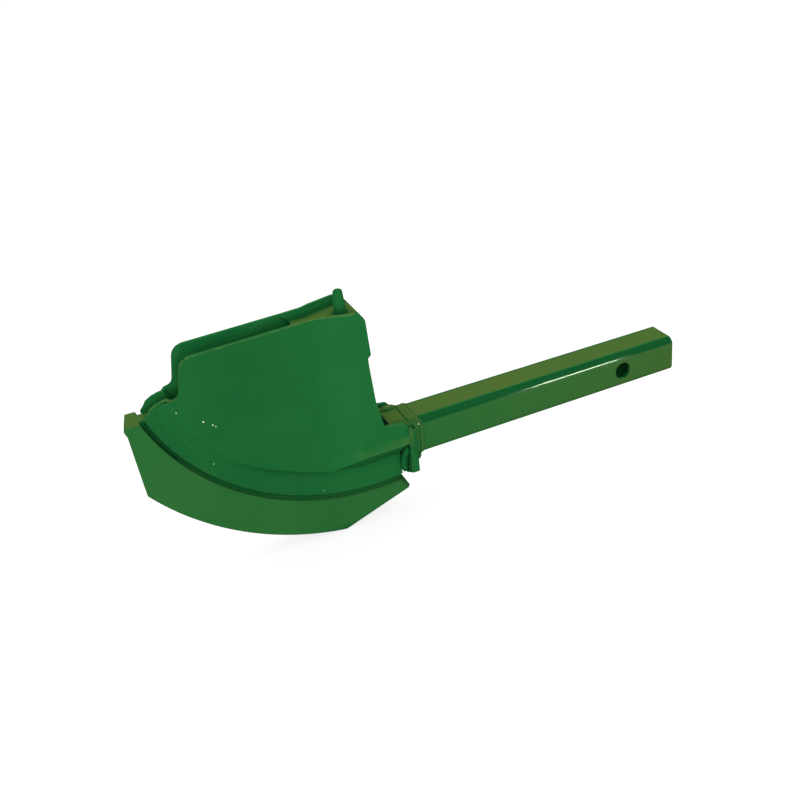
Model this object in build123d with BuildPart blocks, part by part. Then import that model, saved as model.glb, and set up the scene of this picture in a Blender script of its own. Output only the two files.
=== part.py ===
from build123d import *
import math
import os

os.makedirs("parts", exist_ok=True)

# Overseeder coulter, millimetres, +Z up, +X along the shank towards its bolt end.
# The origin is the centre of the cross-bolt hole, on the axis of the square shank.
# The near side is -Y and the far side is +Y.

# Square shank, a welded tube with rounded corners
tube_side = 30.0
tube_wall = 3.0
tube_corner = 5.8
tube_end = 48.7
bore_diameter = 14.0

# Collar: its front face is the station that the body is measured from
collar_reach = 188.6
collar_thick = 5.8
collar_rise = 24.5
collar_shoulder = 11.4
collar_drop = 18.2
collar_foot_width = 11.0
collar_edge_r = 1.0

# Arc that the body and the runner share, seen from the side: its centre lies above the
# body, and the joggle's foot passes this far below the axis of the shank
arc_setback = 23.4
joggle_drop = 14.0
joggle_start_r = 141.5
joggle_run = 2.5
band_width = 18.0
groove_gap = 3.0
runner_depth = 28.6

# Pressed cheek sheets
sheet = 3.0
band_spacing = 16.0
panel_spacing = 24.6
joggle_lead = 1.2
panel_dish = 0.3
hem_flare = 2.4
head_flare = 2.3
hem_low_z = 0.3
hem_high_z = 6.6
flare_start = 58.4
flare_length = 25.0
cope_clearance = 0.4

# Depth of the cheeks' top edge below the arc centre, and its slope along the top
top_drop = 17.2
top_rise = 1.0
top_front_station = 73.4
top_rear_station = 51.4
cheek_margin = 15.0

# Front edge of a cheek as radius inset from the band edge, and angle about the arc centre
nose_low_angle = 200.8
nose_path = [(3.6, 200.1), (6.3, 199.3), (11.1, 198.9), (16.6, 199.0)]
inner_corner_inset = 26.1
inner_corner_angle = 200.1
front_top_inset = 37.2
front_top_angle = 189.1
inner_corner_r = 5.0
front_top_r = 9.5

# Rear edge of a cheek: stations behind the collar face, and heights below the top edge
rear_corner_station = 27.1
rear_shoulder_station = 23.1
rear_shoulder_drop = 6.2
notch_station = 21.6
notch_drop = 33.3
notch_depth = 2.6
rear_waist_station = 22.0
rear_waist_drop = 69.8
rear_foot_station = 17.7
lap_rise = 4.6
lap_crest_station = 3.4
lap_nose_station = 0.6
lap_nose_rise = 2.0
lap_end_rise = 0.6
shoulder_r = 3.0
rear_foot_r = 1.2

# Filled front stretch of the joggle: width of the filling by angle about the arc centre
step_fill = [(206, 3.0), (211, 6.5), (217, 7.5), (223, 7.5), (229, 6.5), (235, 4.5), (241, 2.0)]

# Runner blade and its tongue
runner_proud = 2.0
tongue_depth = 12.0
runner_crest_drop = 58.4
crest_ledge = 8.5
nib_proud = 2.1
nib_drop = 2.0
nib_depth = 6.4
heel_angle = 214.9
heel_proud = 1.5
keel_angle = 260.8
toe_depth = 9.4
toe_angle = 277.8
shoulder_angle = 276.0
band_setback = 4.4
runner_bevel = 0.9
toe_bevel = 2.0
runner_skew = 3.8

# Throat plate: a folded tray with a front leg
throat_thick = 3.0
throat_recess = 5.3
throat_setback = 68.4
throat_leg = 67.5
throat_fold_r = 4.0
throat_rear_station = 23.2
throat_flange_lean = 5.0
throat_flange_rise = 4.7
throat_flange_thick = 1.4

# Rear wall and upright hose post
wall_station = 27.8
post_station = 33.7
post_base_r = 4.4
post_top_r = 3.1
post_height = 17.5
post_dome = 1.6

# Weld beads
bead_taper = 40.0
collar_bead_leg = 2.0
collar_bead_run = 4.0
collar_bead_taper = 24.0
collar_foot_run = 6.0
collar_foot_drop = 8.0
collar_foot_bead_width = 24.0
seam_length = 13.4
seam_rise = 1.0
seam_reach = 6.5
lap_bead_r = 1.6
groove_bead_start = 202.0
groove_bead_leg = 1.5
groove_bead_land = 0.2
post_bead_leg = 2.0
post_bead_rise = 2.2
wall_bead_leg = 2.8
foot_bead_leg = 3.0

# Distances worked out from the values above
tube_half = tube_side / 2
bore_radius = bore_diameter / 2
collar_x = -collar_reach
arc_x = collar_x - arc_setback
joggle_end_r = joggle_start_r + joggle_run
arc_z = joggle_end_r - joggle_drop
band_edge_r = joggle_end_r + band_width
runner_inner_r = band_edge_r + groove_gap
runner_outer_r = runner_inner_r + runner_depth
tongue_inner_r = band_edge_r - tongue_depth
reach = 2 * runner_outer_r

band_outer_y = band_spacing / 2
band_inner_y = band_outer_y - sheet
panel_outer_y = panel_spacing / 2
panel_inner_y = panel_outer_y - sheet
lap_outer_y = tube_half + sheet
lap_hem_y = lap_outer_y + hem_flare
head_y = lap_outer_y + head_flare
runner_half = band_outer_y + runner_proud

top_z = arc_z - top_drop
flare_start_x = collar_x - flare_start
flare_end_x = flare_start_x + flare_length
band_end_x = collar_x - band_setback
throat_top_z = top_z - throat_recess
throat_low_z = throat_top_z - throat_thick
throat_flange_z = throat_top_z + throat_flange_rise
throat_front_x = collar_x - throat_setback
throat_rear_x = collar_x - throat_rear_station
throat_flange_x = throat_front_x - throat_flange_lean
throat_inner_y = panel_inner_y - throat_flange_thick
throat_head_y = head_y - sheet - throat_flange_thick
wall_front_x = collar_x - wall_station
wall_rear_x = wall_front_x + sheet
post_x = collar_x - post_station
collar_bead_x = collar_x + collar_thick
cheek_top_z = top_z + cheek_margin


def on_arc(radius, x):
    """Point of the lower half of a shared-arc circle at station x."""
    return (x, arc_z - math.sqrt(radius**2 - (x - arc_x) ** 2))


def at_height(radius, z):
    """Left-hand point of a shared-arc circle at height z."""
    return (arc_x - math.sqrt(radius**2 - (arc_z - z) ** 2), z)


def arc_at(radius, degrees):
    """Point of a shared-arc circle at an angle from +X."""
    angle = math.radians(degrees)
    return (arc_x + radius * math.cos(angle), arc_z + radius * math.sin(angle))


def angle_of(point):
    """Angle of a point about the arc centre, from 0 to 360 degrees."""
    return math.degrees(math.atan2(point[1] - arc_z, point[0] - arc_x)) % 360


def middle_of(radius, first, last):
    """Point midway along the shared arc between two points of it."""
    return arc_at(radius, (angle_of(first) + angle_of(last)) / 2)


def radial_plane(degrees):
    """Plane through the arc axis at an angle from +X; its x runs outwards and its y is +Y."""
    angle = math.radians(degrees)
    return Plane(
        origin=(arc_x, 0, arc_z),
        x_dir=(math.cos(angle), 0, math.sin(angle)),
        z_dir=(-math.sin(angle), 0, math.cos(angle)),
    )


def behind_collar(station, height):
    """Point of the side view at a station behind the collar's front face."""
    return (collar_x - station, height)


arc_axis = Axis((arc_x, 0, arc_z), (0, 1, 0))
side_plane = Plane.XZ


def flare_section(x, low_y, low_z, knee_y, crown_y):
    """Section of the flared sheet at station x, from the band to above the top edge."""
    band_z = on_arc(joggle_end_r, x)[1]
    root_z = on_arc(joggle_end_r + joggle_lead, x)[1]
    return [
        (-band_outer_y, root_z),
        (-band_outer_y, band_z),
        (-low_y, low_z),
        (-knee_y, hem_high_z),
        (-crown_y, cheek_top_z),
        (sheet - crown_y, cheek_top_z),
        (sheet - knee_y, hem_high_z),
        (sheet - low_y, low_z + joggle_lead),
        (-band_inner_y, band_z + joggle_lead),
        (-band_inner_y, root_z),
    ]


flare_root_z = on_arc(joggle_start_r, flare_start_x)[1]
panel_knee_y = panel_outer_y - panel_dish
panel_crown_y = panel_outer_y + panel_dish
flare_start_section = (flare_start_x, panel_outer_y, flare_root_z, panel_knee_y, panel_crown_y)
flare_end_section = (flare_end_x, lap_hem_y, hem_low_z, lap_outer_y, head_y)
lap_end_section = (collar_x, lap_hem_y, hem_low_z, lap_outer_y, head_y)

nose_low = arc_at(band_edge_r, nose_low_angle)
band_end_low = on_arc(band_edge_r, band_end_x)
inner_corner = arc_at(band_edge_r - inner_corner_inset, inner_corner_angle)
front_top = arc_at(band_edge_r - front_top_inset, front_top_angle)
rear_corner = behind_collar(rear_corner_station, top_z + top_rise / 2)
rear_shoulder = behind_collar(rear_shoulder_station, top_z - rear_shoulder_drop)
rear_foot = behind_collar(rear_foot_station, tube_half + lap_rise)

with BuildPart() as near_cheek:
    # Flat panel, joggle and lower band, all round the arc
    with BuildSketch(radial_plane(0)):
        with BuildLine():
            Polyline(
                (0, -panel_inner_y),
                (0, -panel_outer_y),
                (joggle_start_r, -panel_outer_y),
                (joggle_end_r, -band_outer_y),
                (joggle_end_r + joggle_lead, -band_outer_y),
                (joggle_end_r + joggle_lead, -band_inner_y),
                (joggle_end_r - joggle_lead, -band_inner_y),
                (joggle_start_r - joggle_lead, -panel_inner_y),
                close=True,
            )
        make_face()
    revolve(axis=arc_axis)
    # The flat panel stops where the flare starts
    with BuildSketch(Plane.YZ.offset(flare_start_x)):
        Rectangle(reach, 2 * reach)
    extrude(amount=-reach, mode=Mode.INTERSECT)
    with BuildSketch(radial_plane(0)):
        with Locations((joggle_end_r, -band_outer_y)):
            Rectangle(band_width, sheet, align=(Align.MIN, Align.MIN))
    revolve(axis=arc_axis)
    # Flare that widens the sheet from the panel to the side of the shank
    for station, low_y, low_z, knee_y, crown_y in (
        flare_start_section,
        flare_end_section,
        lap_end_section,
    ):
        with BuildSketch(Plane.YZ.offset(station)):
            with BuildLine():
                Polyline(flare_section(station, low_y, low_z, knee_y, crown_y), close=True)
            make_face()
    loft(ruled=True)
    # Side outline
    with BuildSketch(side_plane) as cheek_side:
        with BuildLine():
            Polyline(
                nose_low,
                *[arc_at(band_edge_r - inset, degrees) for inset, degrees in nose_path],
                inner_corner,
                front_top,
                behind_collar(top_front_station, top_z),
                behind_collar(top_rear_station, top_z + top_rise),
                rear_corner,
                rear_shoulder,
                behind_collar(notch_station, top_z - notch_drop),
                behind_collar(notch_station + notch_depth, top_z - notch_drop - notch_depth),
                behind_collar(rear_waist_station, top_z - rear_waist_drop),
                rear_foot,
                behind_collar(lap_crest_station, tube_half + lap_rise),
                behind_collar(lap_nose_station, tube_half + lap_nose_rise),
                behind_collar(0, tube_half + lap_end_rise),
                behind_collar(0, hem_low_z),
                behind_collar(band_setback, hem_low_z),
                band_end_low,
            )
            ThreePointArc(band_end_low, middle_of(band_edge_r, nose_low, band_end_low), nose_low)
        make_face()
        for corner, radius in (
            (inner_corner, inner_corner_r),
            (front_top, front_top_r),
            (rear_foot, rear_foot_r),
            (rear_corner, shoulder_r),
            (rear_shoulder, shoulder_r),
        ):
            fillet(cheek_side.vertices().sort_by_distance((*corner, 0))[0], radius)
    extrude(amount=reach, mode=Mode.INTERSECT)
    # Filling that softens the joggle towards the nose
    for degrees, fill in step_fill:
        with BuildSketch(radial_plane(degrees)):
            with BuildLine():
                Polyline(
                    (joggle_start_r - joggle_lead, -panel_outer_y),
                    (joggle_start_r - joggle_lead, -panel_inner_y - joggle_lead),
                    (joggle_end_r + fill, -band_inner_y - joggle_lead),
                    (joggle_end_r + fill, -band_outer_y),
                    close=True,
                )
            make_face()
    loft(ruled=True)

with BuildPart() as shank_tube:
    with BuildSketch(Plane.YZ.offset(throat_rear_x)):
        RectangleRounded(tube_side, tube_side, tube_corner)
        RectangleRounded(
            tube_side - 2 * tube_wall,
            tube_side - 2 * tube_wall,
            tube_corner - tube_wall,
            mode=Mode.SUBTRACT,
        )
    extrude(amount=tube_end - throat_rear_x)
    with BuildSketch(side_plane):
        Circle(bore_radius)
    extrude(amount=tube_side, both=True, mode=Mode.SUBTRACT)
    # The tail is coped where the sloping steps of the cheeks rise beside it
    slope_top_y = lap_hem_y - sheet
    slope_low_z = on_arc(joggle_end_r, collar_x)[1]
    slope_share = (slope_top_y - tube_half) / (slope_top_y - band_inner_y)
    cope_z = hem_low_z + joggle_lead - slope_share * (hem_low_z - slope_low_z) + cope_clearance
    with BuildSketch(side_plane):
        with Locations((collar_x, cope_z)):
            Rectangle(reach, tube_side, align=(Align.MAX, Align.MAX))
    extrude(amount=tube_side, both=True, mode=Mode.SUBTRACT)

with BuildPart() as collar_plate:
    with BuildSketch(Plane.YZ.offset(collar_x)):
        with BuildLine():
            Polyline(
                (-lap_outer_y, collar_rise - tube_half),
                (-lap_outer_y, -tube_half - collar_shoulder),
                (-collar_foot_width / 2, -tube_half - collar_drop),
                (collar_foot_width / 2, -tube_half - collar_drop),
                (lap_outer_y, -tube_half - collar_shoulder),
                (lap_outer_y, collar_rise - tube_half),
                close=True,
            )
        make_face()
        RectangleRounded(tube_side, tube_side, tube_corner, mode=Mode.SUBTRACT)
    extrude(amount=collar_thick)
    low_faces = collar_plate.faces().sort_by(Axis.Z)[:3]
    low_edges = low_faces.edges().filter_by(Axis.X, reverse=True)
    fillet(low_edges.filter_by(GeomType.LINE), collar_edge_r)

runner_crest = at_height(runner_inner_r, arc_z - runner_crest_drop)
runner_top_z = runner_crest[1]
ledge_end = (runner_crest[0] - crest_ledge, runner_top_z)
runner_nib = (ledge_end[0] - nib_proud, runner_top_z - nib_drop)
nib_root = (ledge_end[0] - nib_proud / 4, runner_top_z - nib_depth)
runner_heel = arc_at(runner_outer_r + heel_proud, heel_angle)
runner_keel = arc_at(runner_outer_r, keel_angle)
runner_toe = arc_at(runner_inner_r + toe_depth, toe_angle)
runner_shoulder = arc_at(runner_inner_r, shoulder_angle)
tongue_high = at_height(tongue_inner_r, runner_top_z)
tongue_toe = on_arc(runner_inner_r, band_end_x)
tongue_root = on_arc(tongue_inner_r, band_end_x)

with BuildPart() as runner_blade:
    with BuildSketch(side_plane):
        with BuildLine():
            Polyline(runner_crest, ledge_end, runner_nib, nib_root, runner_heel)
            ThreePointArc(
                runner_heel, middle_of(runner_outer_r, runner_heel, runner_keel), runner_keel
            )
            Polyline(runner_keel, runner_toe, runner_shoulder)
            ThreePointArc(
                runner_shoulder,
                middle_of(runner_inner_r, runner_crest, runner_shoulder),
                runner_crest,
            )
        make_face()
    extrude(amount=runner_half, both=True)
    side_edges = runner_blade.faces().filter_by(Axis.Y).edges()
    chamfer(side_edges.sort_by(Axis.X)[-2:], toe_bevel)
    side_edges = runner_blade.faces().filter_by(Axis.Y).edges()
    chamfer(side_edges.filter_by(GeomType.CIRCLE), runner_bevel)
    # The front end is cut slightly out of square, shorter on the far side
    with BuildSketch(Plane.XY.offset(runner_top_z)):
        with BuildLine():
            Polyline(
                (runner_nib[0], -runner_half),
                (runner_nib[0] + runner_skew, runner_half),
                (runner_nib[0] - reach, runner_half),
                (runner_nib[0] - reach, -runner_half),
                close=True,
            )
        make_face()
    extrude(amount=-reach, mode=Mode.SUBTRACT)
    # Tongue that stands between the two bands
    with BuildSketch(side_plane):
        with BuildLine():
            ThreePointArc(
                tongue_high, middle_of(tongue_inner_r, tongue_high, tongue_root), tongue_root
            )
            Line(tongue_root, tongue_toe)
            ThreePointArc(
                tongue_toe, middle_of(runner_inner_r, runner_crest, tongue_toe), runner_crest
            )
            Line(runner_crest, tongue_high)
        make_face()
    extrude(amount=band_inner_y, both=True)

with BuildPart() as throat_plate:
    with BuildSketch(side_plane):
        with BuildLine():
            Polyline(
                (throat_front_x, throat_top_z - throat_leg),
                (throat_front_x, throat_top_z),
                (throat_rear_x, throat_top_z),
                (throat_rear_x, throat_low_z),
                (throat_front_x + throat_thick, throat_low_z),
                (throat_front_x + throat_thick, throat_top_z - throat_leg),
                close=True,
            )
        make_face()
    extrude(amount=lap_hem_y, both=True)
    fold_point = (throat_front_x, 0, throat_top_z)
    fillet(throat_plate.edges().filter_by(Axis.Y).sort_by_distance(fold_point)[0], throat_fold_r)
    # Side flanges rise to the top edges, with a sloping front edge
    with BuildSketch(side_plane):
        with BuildLine():
            Polyline(
                (throat_front_x + throat_fold_r, throat_low_z),
                (throat_front_x, throat_top_z),
                (throat_flange_x, throat_flange_z),
                (wall_front_x, throat_flange_z),
                (wall_front_x, throat_low_z),
                close=True,
            )
        make_face()
    extrude(amount=lap_hem_y, both=True)
    with BuildSketch(Plane.XY.offset(throat_top_z)):
        with BuildLine():
            Polyline(
                (throat_flange_x - sheet, -throat_inner_y),
                (flare_start_x, -throat_inner_y),
                (flare_end_x, -throat_head_y),
                (throat_rear_x, -throat_head_y),
                (throat_rear_x, throat_head_y),
                (flare_end_x, throat_head_y),
                (flare_start_x, throat_inner_y),
                (throat_flange_x - sheet, throat_inner_y),
                close=True,
            )
        make_face()
    extrude(amount=throat_flange_rise, mode=Mode.SUBTRACT)
    # The plate fills the width between the two sheets and goes no further
    add(near_cheek.part, mode=Mode.SUBTRACT)
    mirror(near_cheek.part, about=Plane.XZ, mode=Mode.SUBTRACT)
    with BuildSketch(Plane.XY.offset(throat_top_z - throat_leg)):
        with BuildLine():
            Polyline(
                (throat_flange_x, -panel_inner_y - panel_dish),
                (flare_start_x, -panel_inner_y - panel_dish),
                (flare_end_x, -lap_outer_y),
                (throat_rear_x, -lap_outer_y),
                (throat_rear_x, lap_outer_y),
                (flare_end_x, lap_outer_y),
                (flare_start_x, panel_inner_y + panel_dish),
                (throat_flange_x, panel_inner_y + panel_dish),
                close=True,
            )
        make_face()
    extrude(amount=throat_leg + throat_flange_rise, mode=Mode.INTERSECT)

with BuildPart() as rear_wall:
    with BuildSketch(Plane.YZ.offset(wall_front_x)):
        with BuildLine():
            Polyline(
                (-lap_outer_y + sheet / 2, tube_half),
                (-head_y + sheet / 2, throat_low_z),
                (head_y - sheet / 2, throat_low_z),
                (lap_outer_y - sheet / 2, tube_half),
                close=True,
            )
        make_face()
    extrude(amount=sheet)
    add(near_cheek.part, mode=Mode.SUBTRACT)
    mirror(near_cheek.part, about=Plane.XZ, mode=Mode.SUBTRACT)

with BuildPart() as hose_post:
    with BuildSketch(Plane.XZ):
        with BuildLine():
            Polyline(
                (post_x, throat_top_z),
                (post_x + post_base_r, throat_top_z),
                (post_x + post_top_r, throat_top_z + post_height - post_dome),
                (post_x + post_top_r - post_dome, throat_top_z + post_height),
                (post_x, throat_top_z + post_height),
                close=True,
            )
        make_face()
    revolve(axis=Axis((post_x, 0, 0), (0, 0, 1)))

with BuildPart() as post_bead:
    with BuildSketch(Plane.XY.offset(throat_top_z)):
        with Locations((post_x, 0)):
            Circle(post_base_r + post_bead_leg)
    extrude(amount=post_bead_rise, taper=bead_taper)
    add(hose_post.part, mode=Mode.SUBTRACT)

with BuildPart() as collar_bead:
    with BuildSketch(Plane.YZ.offset(collar_bead_x)):
        RectangleRounded(
            tube_side + 2 * collar_bead_leg,
            tube_side + 2 * collar_bead_leg,
            tube_corner + collar_bead_leg,
        )
    extrude(amount=collar_bead_run, taper=collar_bead_taper)
    with BuildSketch(Plane.YZ.offset(collar_bead_x)):
        RectangleRounded(tube_side, tube_side, tube_corner)
    extrude(amount=collar_bead_run, mode=Mode.SUBTRACT)

with BuildPart() as collar_foot_bead:
    with BuildSketch(side_plane):
        with BuildLine():
            Polyline(
                (collar_bead_x, -tube_half),
                (collar_bead_x, -tube_half - collar_foot_drop),
                (collar_bead_x + collar_foot_run, -tube_half),
                close=True,
            )
        make_face()
    extrude(amount=collar_foot_bead_width / 2, both=True)
    add(collar_bead.part, mode=Mode.SUBTRACT)
    add(shank_tube.part, mode=Mode.SUBTRACT)

with BuildPart() as near_seam_bead:
    with BuildSketch(Plane.YZ.offset(collar_x)):
        with BuildLine():
            Polyline(
                (-tube_half, tube_half + seam_rise),
                (-tube_half, tube_half - tube_corner),
                (-tube_half + tube_corner, tube_half - tube_corner),
                (-tube_half + seam_reach, tube_half),
                close=True,
            )
        make_face()
        RectangleRounded(tube_side, tube_side, tube_corner, mode=Mode.SUBTRACT)
    extrude(amount=-seam_length)

with BuildPart() as near_lap_bead:
    with BuildSketch(Plane.XY.offset(hem_low_z)):
        with Locations((collar_x, -lap_outer_y)):
            Circle(lap_bead_r)
    extrude(amount=collar_rise - tube_half - hem_low_z)
    add(near_cheek.part, mode=Mode.SUBTRACT)
    add(collar_plate.part, mode=Mode.SUBTRACT)
    with BuildSketch(Plane.XZ.offset(lap_outer_y)):
        with Locations((collar_x, 0)):
            Rectangle(reach, reach)
    extrude(amount=lap_outer_y, mode=Mode.INTERSECT)

groove_low = arc_at(band_edge_r, groove_bead_start)
groove_high = on_arc(band_edge_r, band_end_x - groove_bead_leg)
groove_foot = on_arc(band_edge_r + groove_bead_leg, band_end_x - groove_bead_leg)
groove_head = arc_at(band_edge_r + groove_bead_leg, groove_bead_start)

with BuildPart() as near_groove_bead:
    with BuildSketch(side_plane.offset(band_inner_y)):
        with BuildLine():
            ThreePointArc(
                groove_low, middle_of(band_edge_r, groove_low, groove_high), groove_high
            )
            Line(groove_high, groove_foot)
            ThreePointArc(
                groove_foot,
                middle_of(band_edge_r + groove_bead_leg, groove_head, groove_foot),
                groove_head,
            )
            Line(groove_head, groove_low)
        make_face()
    extrude(amount=groove_bead_leg)
    bead_crest = near_groove_bead.faces().sort_by(Axis.Y)[0].edges()
    chamfer(bead_crest.sort_by(SortBy.LENGTH)[-1], groove_bead_leg - groove_bead_land)

with BuildPart() as near_rear_bead:
    for level, inner_y in ((tube_half, tube_half), (throat_low_z, head_y - sheet)):
        with BuildSketch(Plane.XY.offset(level)):
            with BuildLine():
                Polyline(
                    (wall_rear_x, -inner_y - sheet / 2),
                    (wall_rear_x + wall_bead_leg, -inner_y - sheet / 2),
                    (wall_rear_x + wall_bead_leg, -inner_y),
                    (wall_rear_x, -inner_y + wall_bead_leg),
                    close=True,
                )
            make_face()
    loft(ruled=True)
    add(near_cheek.part, mode=Mode.SUBTRACT)

with BuildPart() as wall_foot_bead:
    with BuildSketch(side_plane):
        with BuildLine():
            Polyline(
                (wall_rear_x, tube_half),
                (wall_rear_x + foot_bead_leg, tube_half),
                (wall_rear_x, tube_half + foot_bead_leg),
                close=True,
            )
        make_face()
    extrude(amount=tube_half - tube_corner, both=True)

pieces = {
    "shank_tube": shank_tube,
    "collar_plate": collar_plate,
    "runner_blade": runner_blade,
    "throat_plate": throat_plate,
    "rear_wall": rear_wall,
    "hose_post": hose_post,
    "post_bead": post_bead,
    "collar_bead": collar_bead,
    "collar_foot_bead": collar_foot_bead,
    "wall_foot_bead": wall_foot_bead,
}

# Pieces that come in mirrored pairs, one on each side of the middle plane
near_pieces = {
    "cheek": near_cheek,
    "seam_bead": near_seam_bead,
    "lap_bead": near_lap_bead,
    "groove_bead": near_groove_bead,
    "rear_bead": near_rear_bead,
}
for name, near_piece in near_pieces.items():
    with BuildPart() as far_piece:
        mirror(near_piece.part, about=Plane.XZ)
    pieces[f"near_{name}"] = near_piece
    pieces[f"far_{name}"] = far_piece

for label, piece in pieces.items():
    piece.part.label = label
    export_step(piece.part, f"parts/{label}.step")
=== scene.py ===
"""Looks of the overseeder coulter: green enamel, rounded plate edges, weld beads and stage.

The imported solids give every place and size. Plates, shank and runner are copied from them
with their edges rounded, and the weld beads are laid as rippled beads. The hose post, the
fairings of the joggles and the grains of spatter on the near side are made here. Lengths
are in metres and colours are linear, unless a line says otherwise.
"""

import logging
import math
import random
from dataclasses import dataclass
from enum import Enum

import bmesh
import bpy
from mathutils import Matrix, Vector


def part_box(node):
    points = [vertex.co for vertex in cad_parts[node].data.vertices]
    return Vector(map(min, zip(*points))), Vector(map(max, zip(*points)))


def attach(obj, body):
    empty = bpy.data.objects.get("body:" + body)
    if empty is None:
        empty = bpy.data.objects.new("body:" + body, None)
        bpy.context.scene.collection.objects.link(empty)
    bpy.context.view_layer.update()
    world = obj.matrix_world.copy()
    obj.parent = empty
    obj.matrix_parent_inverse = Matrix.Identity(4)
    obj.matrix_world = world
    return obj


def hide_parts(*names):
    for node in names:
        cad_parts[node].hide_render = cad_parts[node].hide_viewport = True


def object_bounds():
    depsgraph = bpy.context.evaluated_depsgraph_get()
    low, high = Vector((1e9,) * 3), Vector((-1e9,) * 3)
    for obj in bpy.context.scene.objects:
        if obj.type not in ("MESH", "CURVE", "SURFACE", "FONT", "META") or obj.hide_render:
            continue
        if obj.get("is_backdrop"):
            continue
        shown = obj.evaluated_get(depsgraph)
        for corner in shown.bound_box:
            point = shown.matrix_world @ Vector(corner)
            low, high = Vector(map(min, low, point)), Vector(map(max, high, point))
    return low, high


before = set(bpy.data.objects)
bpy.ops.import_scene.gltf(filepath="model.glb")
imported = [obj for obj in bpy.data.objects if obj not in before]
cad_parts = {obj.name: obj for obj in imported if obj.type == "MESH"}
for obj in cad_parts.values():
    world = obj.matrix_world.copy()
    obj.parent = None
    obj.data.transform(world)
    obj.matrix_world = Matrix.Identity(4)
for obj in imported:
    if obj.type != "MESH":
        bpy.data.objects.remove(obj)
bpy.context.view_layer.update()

MM = 0.001
BODY = "root"
# The joggles, the grooves and the runner follow arcs about this point.
ARC_CENTRE = Vector((-212.0 * MM, 0.0, 130.0 * MM))
EDGE_MARK = "rounded_edge"
RIM_MARK = "narrow_face"
log = logging.getLogger("coulter")


class Side(Enum):
    """The two sides of the middle plane, as the sign of Y."""

    NEAR = -1
    FAR = 1

    @property
    def word(self) -> str:
        """The side's name in lower case."""
        return self.name.lower()


class Shade:
    """An output socket of a shader graph whose arithmetic adds Math nodes."""

    def __init__(self, graph: "Graph", socket: bpy.types.NodeSocket) -> None:
        """Keeps the graph and one of its output sockets."""
        self.graph = graph
        self.socket = socket

    def __add__(self, other: "Shade | float") -> "Shade":
        """Sum of two values."""
        return self.graph.math("ADD", self, other)

    def __radd__(self, other: float) -> "Shade":
        """Sum with a number on the left."""
        return self.graph.math("ADD", other, self)

    def __sub__(self, other: "Shade | float") -> "Shade":
        """Difference of two values."""
        return self.graph.math("SUBTRACT", self, other)

    def __rsub__(self, other: float) -> "Shade":
        """Difference with a number on the left."""
        return self.graph.math("SUBTRACT", other, self)

    def __mul__(self, other: "Shade | float") -> "Shade":
        """Product of two values."""
        return self.graph.math("MULTIPLY", self, other)

    def __rmul__(self, other: float) -> "Shade":
        """Product with a number on the left."""
        return self.graph.math("MULTIPLY", other, self)

    def clamped(self) -> "Shade":
        """The value kept between 0 and 1."""
        return self.graph.node("ShaderNodeClamp", {}, {"Value": self})


class Graph:
    """The node tree of a material or of the world, built from Python expressions."""

    def __init__(self, owner: bpy.types.ID) -> None:
        """Starts an empty tree for a material or a world."""
        self.owner = owner
        owner.use_nodes = True
        self.tree = owner.node_tree
        self.tree.nodes.clear()

    def node(
        self, kind: str, settings: dict, inputs: dict, output: str | int = 0
    ) -> Shade | None:
        """Adds a node.

        Args:
            kind: the node's type.
            settings: attributes set before the sockets, such as a Math node's operation.
            inputs: numbers, colours or Shade values by socket name or number.
            output: the output socket to return.

        Returns:
            The chosen output, or None for a node that has none.
        """
        made = self.tree.nodes.new(kind)
        for key, value in settings.items():
            setattr(made, key, value)
        for key, value in inputs.items():
            if isinstance(value, Shade):
                self.tree.links.new(value.socket, made.inputs[key])
            else:
                made.inputs[key].default_value = value
        return Shade(self, made.outputs[output]) if made.outputs else None

    def show(self, shader: Shade, output: str = "ShaderNodeOutputMaterial") -> None:
        """Shows a shader on the surface of the material or world."""
        self.node(output, {}, {"Surface": shader})

    def math(self, operation: str, first: "Shade | float", second: "Shade | float") -> Shade:
        """Adds a Math node of two values and returns its output."""
        return self.node("ShaderNodeMath", {"operation": operation}, {0: first, 1: second})

    def axis(self, vector: Shade, name: str) -> Shade:
        """One coordinate of a vector, by its name X, Y or Z."""
        return self.node("ShaderNodeSeparateXYZ", {}, {0: vector}, name)

    def smooth_step(self, value: Shade, low: float, high: float) -> Shade:
        """Rises softly from 0 at the low value to 1 at the high one."""
        return self.node(
            "ShaderNodeMapRange",
            {"interpolation_type": "SMOOTHSTEP"},
            {"Value": value, "From Min": low, "From Max": high},
        )

    def window(self, value: Shade, start: float, whole: float, fading: float, end: float) -> Shade:
        """Rises softly from 0 to 1 and falls back to 0."""
        return self.smooth_step(value, start, whole) * (1.0 - self.smooth_step(value, fading, end))

    def mix_colour(self, share: "Shade | float", first: object, second: object) -> Shade:
        """Mixes two colours.

        Args:
            share: how much of the second colour.
            first: the first colour, as a Shade or four numbers.
            second: the second colour.

        Returns:
            The mixed colour.
        """
        return self.node(
            "ShaderNodeMix", {"data_type": "RGBA"}, {0: share, 6: first, 7: second}, 2
        )

    def noise(self, vector: Shade, scale: float, detail: float, rough: float = 0.5) -> Shade:
        """Noise of a scale in features per metre, as a value about one half."""
        return self.node(
            "ShaderNodeTexNoise",
            {},
            {"Vector": vector, "Scale": scale, "Detail": detail, "Roughness": rough},
        )


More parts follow.
